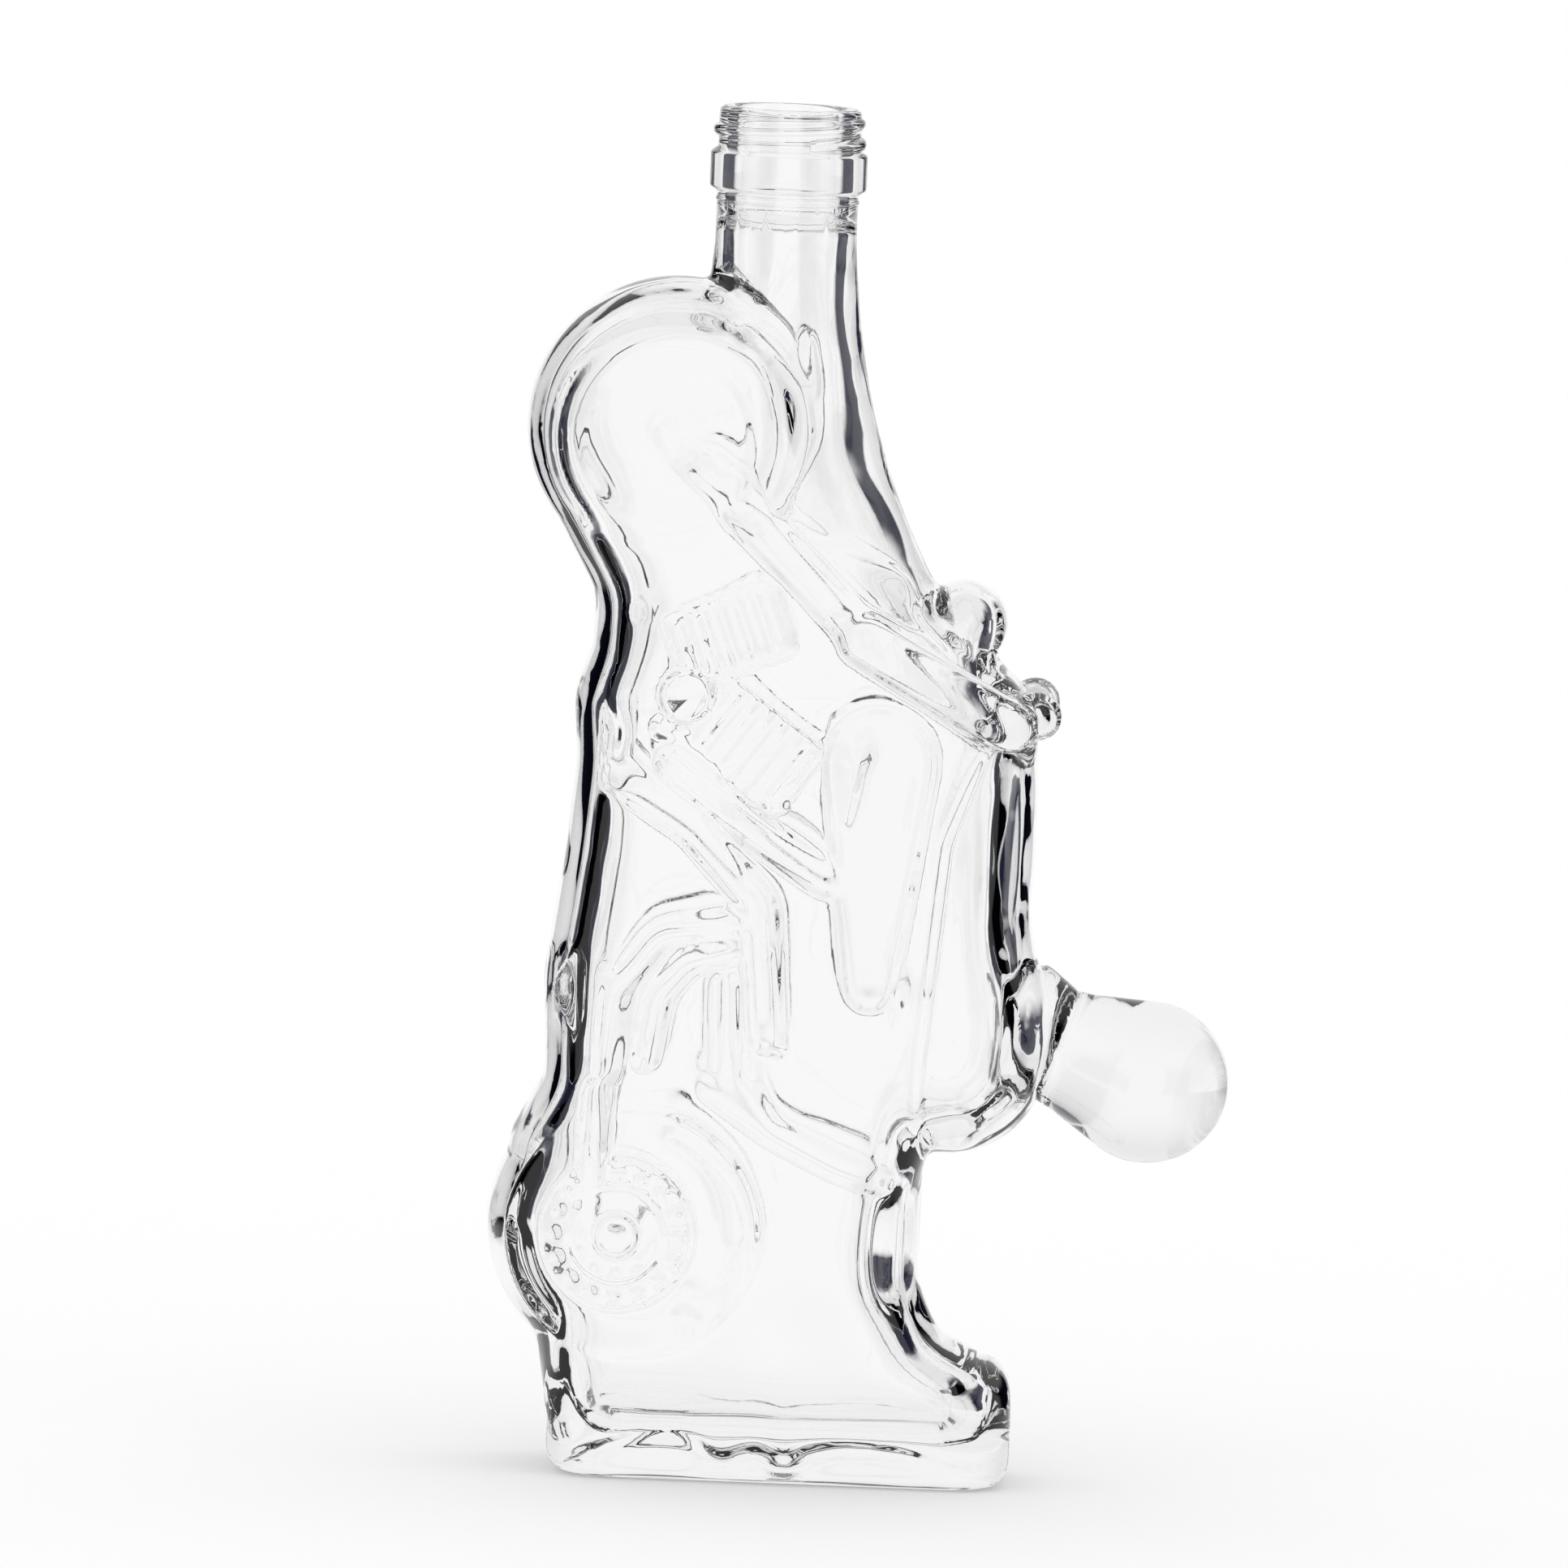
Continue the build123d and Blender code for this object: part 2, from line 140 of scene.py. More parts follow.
def gather(pieces: list[bpy.types.Object], name: str) -> bpy.types.Object:
    """Makes one object of several, with their solids still apart in it.

    Args:
        pieces: The objects.
        name: The name of the whole.

    Returns:
        The whole.
    """
    bpy.ops.object.select_all(action="DESELECT")
    for piece in pieces:
        piece.select_set(True)
    bpy.context.view_layer.objects.active = pieces[0]
    if len(pieces) > 1:
        bpy.ops.object.join()
    pieces[0].name = name
    return pieces[0]


def merged_copy(node: str) -> bpy.types.Object:
    """Copies a CAD node's mesh and merges its loose triangles.

    Args:
        node: The CAD node's name.

    Returns:
        A new object, with its own mesh, in the node's place.
    """
    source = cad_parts[node]
    copy = bpy.data.objects.new(f"{node}_copy", source.data.copy())
    bpy.context.scene.collection.objects.link(copy)
    activate(copy)
    bpy.ops.object.mode_set(mode="EDIT")
    bpy.ops.mesh.select_all(action="SELECT")
    bpy.ops.mesh.remove_doubles(threshold=0.001 * MM)
    bpy.ops.object.mode_set(mode="OBJECT")
    return copy


def select_faces(piece: bpy.types.Object, wanted: Callable[[bpy.types.MeshPolygon], bool]) -> None:
    """Opens an object in edit mode with only some of its faces selected.

    Args:
        piece: The object.
        wanted: Tells whether a face is selected.
    """
    activate(piece)
    bpy.ops.object.mode_set(mode="EDIT")
    bpy.ops.mesh.select_mode(type="FACE")
    bpy.ops.mesh.select_all(action="DESELECT")
    bpy.ops.object.mode_set(mode="OBJECT")
    for face in piece.data.polygons:
        face.select = wanted(face)
    bpy.ops.object.mode_set(mode="EDIT")


def triangles(piece: bpy.types.Object) -> int:
    """Counts the triangles that an object's faces make."""
    return sum(len(face.vertices) - 2 for face in piece.data.polygons)


def thin(piece: bpy.types.Object, most: int) -> None:
    """Takes a mesh down to a number of triangles, if it has more.

    Args:
        piece: The object.
        most: The most triangles it may keep.
    """
    count = triangles(piece)
    if count > most:
        apply_modifier(piece, "DECIMATE", ratio=most / count)


def fade(value: float, low: float, high: float) -> float:
    """Rises softly from 0 at one value to 1 at another.

    Args:
        value: The value to weigh.
        low: Where the weight is 0.
        high: Where it is 1.

    Returns:
        The weight.
    """
    share = min(1.0, max(0.0, (value - low) / (high - low)))
    return share * share * (3.0 - 2.0 * share)


def weigh(piece: bpy.types.Object, name: str, weight: Callable[[bpy.types.MeshVertex], float]) -> None:
    """Gives an object's points weights, as a vertex group.

    Args:
        piece: The object.
        name: The group's name.
        weight: The weight of a point.
    """
    group = piece.vertex_groups.new(name=name)
    for point in piece.data.vertices:
        group.add([point.index], weight(point), "REPLACE")


def rod(
    points: list[Vector], radii: list[float], name: str, around: int = 3, along: int = 8
) -> bpy.types.Object:
    """Sweeps a round rod, whose radius changes along it, through the points.

    Args:
        points: The points that the rod's middle runs through.
        radii: The rod's radius at each point.
        name: The rod's name.
        around: How finely it is rounded.
        along: How many steps it has from point to point.

    Returns:
        A closed mesh.
    """
    curve = bpy.data.curves.new(name, "CURVE")
    curve.dimensions = "3D"
    curve.bevel_depth = 1.0
    curve.bevel_resolution = around
    curve.resolution_u = along
    curve.use_fill_caps = True
    spline = curve.splines.new("BEZIER")
    spline.bezier_points.add(len(points) - 1)
    for place, point, radius in zip(spline.bezier_points, points, radii):
        place.co = point
        place.radius = radius
        place.handle_left_type = "AUTO"
        place.handle_right_type = "AUTO"
    piece = bpy.data.objects.new(name, curve)
    bpy.context.scene.collection.objects.link(piece)
    activate(piece)
    bpy.ops.object.convert(target="MESH")
    piece = bpy.context.object
    weld(piece, 0.01 * MM)
    return piece


def lathe(profile: list[Spot], axis_x: float, top: float, name: str, steps: int = 160) -> bpy.types.Object:
    """Turns a profile round an upright axis.

    Args:
        profile: Pairs of radius and depth under the top.
        axis_x: The axis's place along x.
        top: The height that the depths are taken from.
        name: The name of the piece.
        steps: How many steps the turn has.

    Returns:
        The piece, closed if its profile starts and ends on the axis.
    """
    mesh = bpy.data.meshes.new(name)
    points = [(axis_x + radius, 0.0, top - depth) for radius, depth in profile]
    mesh.from_pydata(points, [(at, at + 1) for at in range(len(points) - 1)], [])
    piece = bpy.data.objects.new(name, mesh)
    bpy.context.scene.collection.objects.link(piece)
    activate(piece)
    bpy.ops.object.mode_set(mode="EDIT")
    bpy.ops.mesh.select_all(action="SELECT")
    bpy.ops.mesh.spin(
        steps=steps, angle=math.tau, center=(axis_x, 0.0, 0.0), axis=(0.0, 0.0, 1.0), use_auto_merge=False
    )
    bpy.ops.object.mode_set(mode="OBJECT")
    weld(piece, 0.002 * MM)
    return piece


def arc(middle: Spot, radius: float, start_deg: float, end_deg: float, steps: int = 6) -> list[Spot]:
    """The points of an arc in a profile.

    Args:
        middle: The arc's middle.
        radius: Its radius.
        start_deg: The angle where it starts.
        end_deg: The angle where it ends.
        steps: How many steps it has.

    Returns:
        The points, both ends among them.
    """
    angles = [math.radians(start_deg + (end_deg - start_deg) * at / steps) for at in range(steps + 1)]
    return [(middle[0] + radius * math.cos(angle), middle[1] + radius * math.sin(angle)) for angle in angles]


class Maths:
    """A shader socket that Python's operators work on, each adding a Math node."""

    def __init__(self, tree: "Shader", socket: Any) -> None:
        """Wraps a socket.

        Args:
            tree: The shader that holds the socket's node.
            socket: The output socket.
        """
        self.tree = tree
        self.socket = socket

    def _join(self, operation: str, *values: Any) -> "Maths":
        """Adds a Math node over the values, numbers or wrapped sockets."""
        return self.tree.maths(operation, *values)

    def __add__(self, other: Any) -> "Maths":
        """Adds."""
        return self._join("ADD", self, other)

    __radd__ = __add__

    def __sub__(self, other: Any) -> "Maths":
        """Subtracts."""
        return self._join("SUBTRACT", self, other)

    def __rsub__(self, other: Any) -> "Maths":
        """Subtracts from a number."""
        return self._join("SUBTRACT", other, self)

    def __mul__(self, other: Any) -> "Maths":
        """Multiplies."""
        return self._join("MULTIPLY", self, other)

    __rmul__ = __mul__

    def __truediv__(self, other: Any) -> "Maths":
        """Divides."""
        return self._join("DIVIDE", self, other)

    def __gt__(self, other: Any) -> "Maths":
        """Is 1 where this is greater."""
        return self._join("GREATER_THAN", self, other)

    def absolute(self) -> "Maths":
        """Drops the sign."""
        return self._join("ABSOLUTE", self)

    def highest(self, other: Any) -> "Maths":
        """Takes the greater of two."""
        return self._join("MAXIMUM", self, other)

    def ramp(self, low: float, high: float) -> "Maths":
        """Rises softly from 0 at one value to 1 at another.

        Args:
            low: The value where the ramp is 0.
            high: The value where the ramp is 1.

        Returns:
            The ramp, between 0 and 1.
        """
        node = self.tree.node(
            "ShaderNodeMapRange",
            {"interpolation_type": "SMOOTHSTEP"},
            {"Value": self, "From Min": low, "From Max": high},
        )
        return Maths(self.tree, node.outputs["Result"])


class Shader:
    """A node tree of a material or the world, with one method that adds any node."""

    def __init__(self, owner: Any) -> None:
        """Clears the owner's node tree.

        Args:
            owner: The material or world.
        """
        owner.use_nodes = True
        self.tree = owner.node_tree
        self.tree.nodes.clear()

    def node(self, kind: str, settings: dict[str, Any], inputs: dict[Any, Any]) -> Any:
        """Adds a node.

        Args:
            kind: The node's type.
            settings: Its settings, made first.
            inputs: The values or links of its sockets, by name or place.

        Returns:
            The node.
        """
        node = self.tree.nodes.new(kind)
        for name, value in settings.items():
            setattr(node, name, value)
        for name, value in inputs.items():
            value = value.socket if isinstance(value, Maths) else value
            if isinstance(value, bpy.types.NodeSocket):
                self.tree.links.new(value, node.inputs[name])
            else:
                node.inputs[name].default_value = value
        return node

    def maths(self, operation: str, *values: Any) -> Maths:
        """Adds a Math node.

        Args:
            operation: The node's operation.
            *values: Numbers or wrapped sockets.

        Returns:
            Its result.
        """
        node = self.node("ShaderNodeMath", {"operation": operation}, dict(enumerate(values)))
        return Maths(self, node.outputs[0])

    def mix(self, share: Any, first: Any, second: Any) -> Any:
        """Mixes two colours.

        Args:
            share: How much of the second, from 0 to 1.
            first: The first colour.
            second: The second colour.

        Returns:
            The colour's socket.
        """
        node = self.node("ShaderNodeMix", {"data_type": "RGBA"}, {0: share, 6: first, 7: second})
        return node.outputs[2]

    def read(self, kind: str, output: str) -> Maths:
        """Adds an input node, such as Light Path, and wraps one of its outputs.

        Args:
            kind: The node's type.
            output: The output's name.

        Returns:
            The wrapped output.
        """
        return Maths(self, self.node(kind, {}, {}).outputs[output])


@dataclass(frozen=True)
class ClearGlass:
    """White flint glass with a fire-polished skin, faintly grey-green where it is thick."""

    name: str = "clear_glass"
    tint: Colour = (0.975, 0.975, 0.975, 1.0)
    refraction: float = 1.5
    roughness: float = 0.0
    depth_tint: Colour = (0.80, 0.80, 0.805, 1.0)
    depth_strength: float = 10.0
    ripple_size: float = 9 * MM
    ripple_depth: float = 0.05 * MM

    def material(self) -> bpy.types.Material:
        """Makes the glass.

        Returns:
            The material.
        """
        material = bpy.data.materials.new(self.name)
        shader = Shader(material)
        place = shader.node("ShaderNodeTexCoord", {}, {}).outputs["Object"]
        ripple = shader.node(
            "ShaderNodeTexNoise",
            {},
            {"Vector": place, "Scale": 1 / self.ripple_size, "Detail": 1.0, "Roughness": 0.4},
        )
        bump = shader.node(
            "ShaderNodeBump",
            {},
            {"Strength": 1.0, "Distance": self.ripple_depth, "Height": ripple.outputs["Fac"]},
        )
        glass = shader.node(
            "ShaderNodeBsdfPrincipled",
            {},
            {
                "Base Color": self.tint,
                "Roughness": self.roughness,
                "IOR": self.refraction,
                "Transmission Weight": 1.0,
                "Normal": bump.outputs["Normal"],
            },
        )
        depth = shader.node(
            "ShaderNodeVolumeAbsorption", {}, {"Color": self.depth_tint, "Density": self.depth_strength}
        )
        shader.node(
            "ShaderNodeOutputMaterial",
            {},
            {"Surface": glass.outputs["BSDF"], "Volume": depth.outputs["Volume"]},
        )
        return material


@dataclass(frozen=True)
class DarkCards:
    """Dark navy cards at the sides, which only light mirrored inside the glass sees."""

    starts: Range = (0.38, 0.46)
    ends: Range = (0.84, 0.93)
    colour: Colour = (0.018, 0.02, 0.042, 1.0)

    def bent(self, shader: Shader) -> Maths:
        """Is 1 for light that comes out of the glass."""
        through = shader.read("ShaderNodeLightPath", "Is Transmission Ray")
        return through.highest(shader.read("ShaderNodeLightPath", "Is Glossy Ray"))

    def share(self, shader: Shader, across: Maths) -> Maths:
        """How much of a card is seen in a direction.

        Args:
            shader: The node tree.
            across: How far the direction points to either side, from 0 to 1.

        Returns:
            The share.
        """
        mirrored = self.bent(shader) * (shader.read("ShaderNodeLightPath", "Glossy Depth") > 0.5)
        return across.ramp(*self.starts) * (1 - across.ramp(*self.ends)) * mirrored


@dataclass(frozen=True)
class PaleFloor:
    """A plain white floor that takes a soft shadow. Light bent in the glass sees it as an even white glow
    instead, with a painted shadow near the bottle and the dark cards carried on at the sides.
    """

    name: str = "pale_floor"
    colour: Colour = (0.8, 0.8, 0.8, 1.0)
    glow: float = 0.2
    # Painted shadow round the bottle's foot, seen only by light bent in the glass: the glow has this lower
    # strength inside near and rises to full past far.
    near: float = 0.03
    far: float = 0.25
    painted_shadow_glow: float = 0.94
    card_reach: Range = (0.25, 0.60)
    cards: DarkCards = DarkCards()

    def material(self) -> bpy.types.Material:
        """Makes the floor's finish.

        Returns:
            The material.
        """
        material = bpy.data.materials.new(self.name)
        shader = Shader(material)
        floor = shader.node(
            "ShaderNodeBsdfPrincipled",
            {},
            {
                "Base Color": self.colour,
                "Roughness": 1.0,
                "Specular IOR Level": 0.0,
                "Emission Color": WHITE,
                "Emission Strength": self.glow,
            },
        )
        place = shader.node("ShaderNodeTexCoord", {}, {}).outputs["Object"]
        length = shader.node("ShaderNodeVectorMath", {"operation": "LENGTH"}, {0: place})
        distance = Maths(shader, length.outputs["Value"])
        axes = shader.node("ShaderNodeSeparateXYZ", {}, {0: place})
        across = Maths(shader, axes.outputs["X"]).absolute() / distance
        card = self.cards.share(shader, across) * distance.ramp(*self.card_reach)
        # Light bent in the glass sees this white glow, dimmed near the bottle as a painted shadow, in place
        # of the lit floor.
        seen = shader.node(
            "ShaderNodeEmission",
            {},
            {
                "Color": shader.mix(card, WHITE, self.cards.colour),
                "Strength": distance.ramp(self.near, self.far) * (1 - self.painted_shadow_glow) + self.painted_shadow_glow,
            },
        )
        surface = shader.node(
            "ShaderNodeMixShader",
            {},
            {0: self.cards.bent(shader), 1: floor.outputs["BSDF"], 2: seen.outputs["Emission"]},
        )
        shader.node("ShaderNodeOutputMaterial", {}, {"Surface": surface.outputs["Shader"]})
        return material


@dataclass(frozen=True)
class Dip:
    """A place of the side view where a bow has a depth of its own, in millimetres."""

    x: float
    z: float
    reach: float
    depth: float
    core: float = 0.4

    def nearness(self, place: Vector) -> float:
        """How near a place is, from 1 within the core's share of the reach to 0 past the reach."""
        distance = math.hypot(place.x - self.x * MM, place.z - self.z * MM)
        return 1.0 - fade(distance, self.core * self.reach * MM, self.reach * MM)


@dataclass(frozen=True)
class Bow:
    """How the figure's edge walls are drawn in towards its faces, which bows them from face to face."""

    half_depth: float
    common: float
    rim: Range
    dips: tuple[Dip, ...]
    foot: Range = (12.0 * MM, 26.0 * MM)
    smoothing: int = 8

    def deepest(self) -> float:
        """The depth of the deepest bow."""
        return max(self.common, *(dip.depth * MM for dip in self.dips))

    def depth(self, place: Vector) -> float:
        """The bow's depth at a place of the side view.

        Args:
            place: The place.

        Returns:
            The depth.
        """
        depth = self.common
        for dip in self.dips:
            depth += (dip.depth * MM - depth) * dip.nearness(place)
        return depth

    def share(self, point: bpy.types.MeshVertex) -> float:
        """How far a point is drawn in.

        Args:
            point: The point.

        Returns:
            The share of the deepest bow.
        """
        height = abs(point.co.y)
        across = min(1.0, (height / self.half_depth) ** 2) * (1.0 - fade(height, *self.rim))
        across *= fade(point.co.z, *self.foot)
        return self.depth(point.co) / self.deepest() * across * (1.0 - point.normal.y**2)

    def draw(self, shell: bpy.types.Object, most: Callable[[Vector], float]) -> None:
        """Bows a shell's edge walls.

        Args:
            shell: The shell.
            most: The most that the bow may have at a place, from 0 to 1.
        """
        weigh(shell, "bowed", lambda point: self.share(point) * most(point.co))
        apply_modifier(shell, "DISPLACE", strength=-self.deepest(), mid_level=0.0, vertex_group="bowed")
        smooth(shell, self.smoothing, "bowed")


@dataclass
class BodyShells:
    """The blown body's outside and the space inside it, each as a closed solid."""

    node: str = "figural_body"
    ring_slack: float = 0.002 * MM
    collar: float = 2.0 * MM
    throat: float = 19.5 * MM
    outside_step: float = 0.6 * MM
    inside_step: float = 1.3 * MM
    crisp_smoothing: int = 3
    soft_smoothing: int = 24
    inside_smoothing: int = 70
    neck_fade: Range = (6.0 * MM, 20.0 * MM)
    ring_fade: Range = (3.0 * MM, 12.0 * MM)
    neck_reach: float = 30.0 * MM
    neck_r: float = 12.6 * MM
    bore_r: float = 9.4 * MM
    outside_triangles: int = 112_000
    wave_size: float = 15.0 * MM
    wave_depth: float = 1.3 * MM
    crisp_spots: tuple[tuple[float, float, float], ...] = (
        (-26.0 * MM, 150.0 * MM, 13.0 * MM),
        (-21.5 * MM, 132.0 * MM, 13.0 * MM),
        (-34.0 * MM, 140.5 * MM, 6.0 * MM),
        (-42.4 * MM, 44.2 * MM, 14.0 * MM),
    )
    crisp_fade: float = 3.0 * MM
    outer_bow: Bow = Bow(
        half_depth=18.5 * MM,
        common=5.5 * MM,
        rim=(18.0 * MM, 18.9 * MM),
        smoothing=70,
        dips=(
            Dip(-9.0, 200.0, 30.0, 0.0),
            Dip(0.0, 168.0, 16.0, 0.0),
            Dip(28.7, 139.4, 13.0, 0.0),
            Dip(37.0, 83.0, 16.0, 0.0),
            Dip(13.0, 62.0, 11.0, 2.0),
            Dip(27.0, 113.0, 24.0, 6.0),
        ),
    )
    inner_bow: Bow = Bow(
        half_depth=14.9 * MM,
        common=1.2 * MM,
        rim=(30.0 * MM, 31.0 * MM),
        dips=(
            Dip(-9.0, 200.0, 30.0, 0.0),
            Dip(0.0, 168.0, 16.0, 0.0),
            Dip(8.0, 62.0, 10.0, 0.3),
            Dip(6.0, 42.0, 14.0, 6.0),
            Dip(-58.0, 34.0, 12.0, 4.0),
            Dip(-55.0, 87.0, 10.0, 3.5),
            Dip(25.0, 110.0, 22.0, 2.5),
        ),
    )

    def split(self, joint_z: float) -> tuple[bpy.types.Object, bpy.types.Object]:
        """Parts a copy of the body at the ring where the neck finish sits.

        Args:
            joint_z: The ring's height.

        Returns:
            The outside and the inside, both closed at the neck.
        """
        body = merged_copy(self.node)
        points = body.data.vertices
        ring = joint_z - self.ring_slack
        select_faces(body, lambda face: all(points[at].co.z > ring for at in face.vertices))
        bpy.ops.mesh.delete(type="FACE")
        bpy.ops.mesh.select_all(action="SELECT")
        bpy.ops.mesh.separate(type="LOOSE")
        bpy.ops.object.mode_set(mode="OBJECT")
        shells = sorted(bpy.context.selected_objects, key=lambda shell: shell.dimensions.x)
        self.close(shells[1], self.collar)
        self.close(shells[0], self.throat)
        return shells[1], shells[0]

    def close(self, shell: bpy.types.Object, rise: float) -> None:
        """Draws a shell's open ring upwards and caps it.

        Args:
            shell: The shell.
            rise: How far the ring is drawn up.
        """
        activate(shell)
        bpy.ops.object.mode_set(mode="EDIT")
        bpy.ops.mesh.select_mode(type="VERT")
        bpy.ops.mesh.select_all(action="DESELECT")
        bpy.ops.mesh.select_non_manifold(
            use_wire=False, use_boundary=True, use_multi_face=False, use_non_contiguous=False, use_verts=False
        )
        bpy.ops.mesh.extrude_region_move(TRANSFORM_OT_translate={"value": (0.0, 0.0, rise)})
        bpy.ops.mesh.edge_face_add()
        bpy.ops.mesh.select_all(action="SELECT")
        bpy.ops.mesh.normals_make_consistent(inside=False)
        bpy.ops.object.mode_set(mode="OBJECT")

    def below_neck(self, place: Vector, joint_z: float) -> float:
        """How far a place is below the neck, from 0 at its ring to 1."""
        return fade(joint_z - place.z, *self.neck_fade)

    def softness(self, place: Vector, joint_z: float) -> float:
        """How much the mould's relief melts at a place, less over the engine and the brake disc.

        Args:
            place: The place on the outside.
            joint_z: The neck ring's height.

        Returns:
            The weight, from 0 to 1.
        """
        weight = self.below_neck(place, joint_z)
        for x, z, radius in self.crisp_spots:
            weight = min(weight, fade(math.hypot(place.x - x, place.z - z), radius, radius + self.crisp_fade))
        return weight

    def outside(
        self, shell: bpy.types.Object, relief: list[bpy.types.Object], joint_z: float
    ) -> bpy.types.Object:
        """Melts the relief into the outside and softens it all as fire-polished glass.

        Args:
            shell: The closed outside.
            relief: Closed pieces that stand on it.
            joint_z: The neck ring's height.

        Returns:
            One solid.
        """
        solid = gather([shell, *relief], "outside")
        apply_modifier(solid, "REMESH", mode="VOXEL", voxel_size=self.outside_step)
        weigh(solid, "soft", lambda point: self.softness(point.co, joint_z))
        smooth(solid, self.crisp_smoothing)
        smooth(solid, self.soft_smoothing, "soft")
        self.outer_bow.draw(solid, lambda place: self.below_neck(place, joint_z))
        thin(solid, self.outside_triangles)
        self.true_neck(solid, joint_z, self.neck_r)
        return solid

    def inside(self, shell: bpy.types.Object, joint_z: float) -> bpy.types.Object:
        """Rounds the inside as the blow of air does, with slow waves in its wall.

        Args:
            shell: The closed inside.
            joint_z: The neck ring's height.

        Returns:
            One solid.
        """
        apply_modifier(shell, "REMESH", mode="VOXEL", voxel_size=self.inside_step)
        weigh(shell, "blown", lambda point: self.below_neck(point.co, joint_z))
        smooth(shell, self.crisp_smoothing)
        smooth(shell, self.inside_smoothing, "blown")
        self.inner_bow.draw(shell, lambda place: self.below_neck(place, joint_z))
        waves = bpy.data.textures.new("wall_waves", "CLOUDS")
        waves.noise_scale = self.wave_size
        waves.noise_depth = 0
        apply_modifier(
            shell,
            "DISPLACE",
            texture=waves,
            strength=self.wave_depth,
            mid_level=0.5,
            texture_coords="LOCAL",
            vertex_group="blown",
        )
        self.true_neck(shell, joint_z, self.bore_r)
        return shell

    def true_neck(self, shell: bpy.types.Object, joint_z: float, radius: float) -> None:
        """Draws a shell's neck onto a true cylinder, where the neck ring forms it.

        Args:
            shell: The shell.
            joint_z: The neck ring's height.
            radius: The cylinder's radius.
        """
        neck_x = sum(corner[0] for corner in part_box("neck_finish")) / 2
        profile = [(radius, -self.neck_reach), (radius, self.neck_reach)]
        cylinder = lathe(profile, neck_x, joint_z, "true_neck")
        weigh(
            shell, "ring", lambda point: fade(point.co.z - joint_z, -self.ring_fade[1], -self.ring_fade[0])
        )
        apply_modifier(
            shell, "SHRINKWRAP", target=cylinder, wrap_method="NEAREST_SURFACEPOINT", vertex_group="ring"
        )
        bpy.data.objects.remove(cylinder, do_unlink=True)


@dataclass
class Ridge:
    """A run of soft relief on the figure's faces, in millimetres of the side view."""

    name: str
    spots: tuple[Spot, ...]
    radii: tuple[float, ...]
    depth: float = 18.5

    def build(self) -> list[bpy.types.Object]:
        """Sweeps the run on both faces.

        Returns:
            The two rods.
        """
        return [
            rod(
                [Vector((x, side.value * self.depth, z)) * MM for x, z in self.spots],
                [radius * MM for radius in self.radii],
                f"{self.name}_{side.name.lower()}",
            )
            for side in Side
        ]


@dataclass
class Relief:
    """The small soft relief that the solids leave to the glass."""

    ridges: tuple[Ridge, ...] = (
        Ridge("flank_oval", ((-47.4, 140.2), (-46.2, 134.0), (-46.6, 127.6)), (0.4, 2.3, 0.5)),
        Ridge("leaf", ((-53.2, 96.0), (-54.0, 88.6), (-51.6, 77.0)), (0.4, 2.4, 0.5), 17.6),
        Ridge("shoulder_eye", ((-14.0, 205.5), (-15.3, 196.5), (-16.2, 184.0)), (0.5, 3.4, 0.6), 14.6),
        Ridge("upper_stud", ((-42.4, 158.0), (-42.6, 155.4), (-42.9, 153.0)), (0.3, 1.2, 0.3)),
        Ridge("lower_stud", ((-46.2, 94.0), (-46.5, 90.4), (-46.9, 86.4)), (0.2, 1.1, 0.2)),
        Ridge("guard_oval", ((-41.3, 88.4), (-42.2, 81.8), (-43.0, 74.8)), (0.2, 1.4, 0.3)),
        Ridge("vent_oval", ((7.1, 95.0), (6.3, 88.6), (5.6, 81.2)), (0.2, 1.6, 0.3)),
        Ridge("seam_stud", ((-14.1, 80.2), (-14.5, 78.3), (-15.0, 76.4)), (0.2, 1.3, 0.3)),
        Ridge("tank_crease", ((-2.5, 131.0), (-3.4, 126.4), (-4.7, 119.0)), (0.8, 0.7, 0.2), 21.6),
        Ridge("saddle_strap", ((-19.9, 77.4), (-18.6, 72.0), (-16.3, 66.4)), (1.3, 0.9, 1.2)),
        Ridge(
            "front_ground",
            (
                (-50.9, 2.8), (-40.9, 6.7), (-29.4, 8.3), (-22.7, 4.4), (-16.2, 5.9), (-11.0, 3.5),
                (-6.1, 6.0), (8.4, 6.6), (20.1, 4.4),
            ),
            (0.6, 1.3, 1.6, 1.3, 1.7, 1.5, 1.6, 1.4, 0.5),
            18.2,
        ),
    )

    def build(self) -> list[bpy.types.Object]:
        """Sweeps all the runs.

        Returns:
            The rods, two for each run.
        """
        return [piece for ridge in self.ridges for piece in ridge.build()]


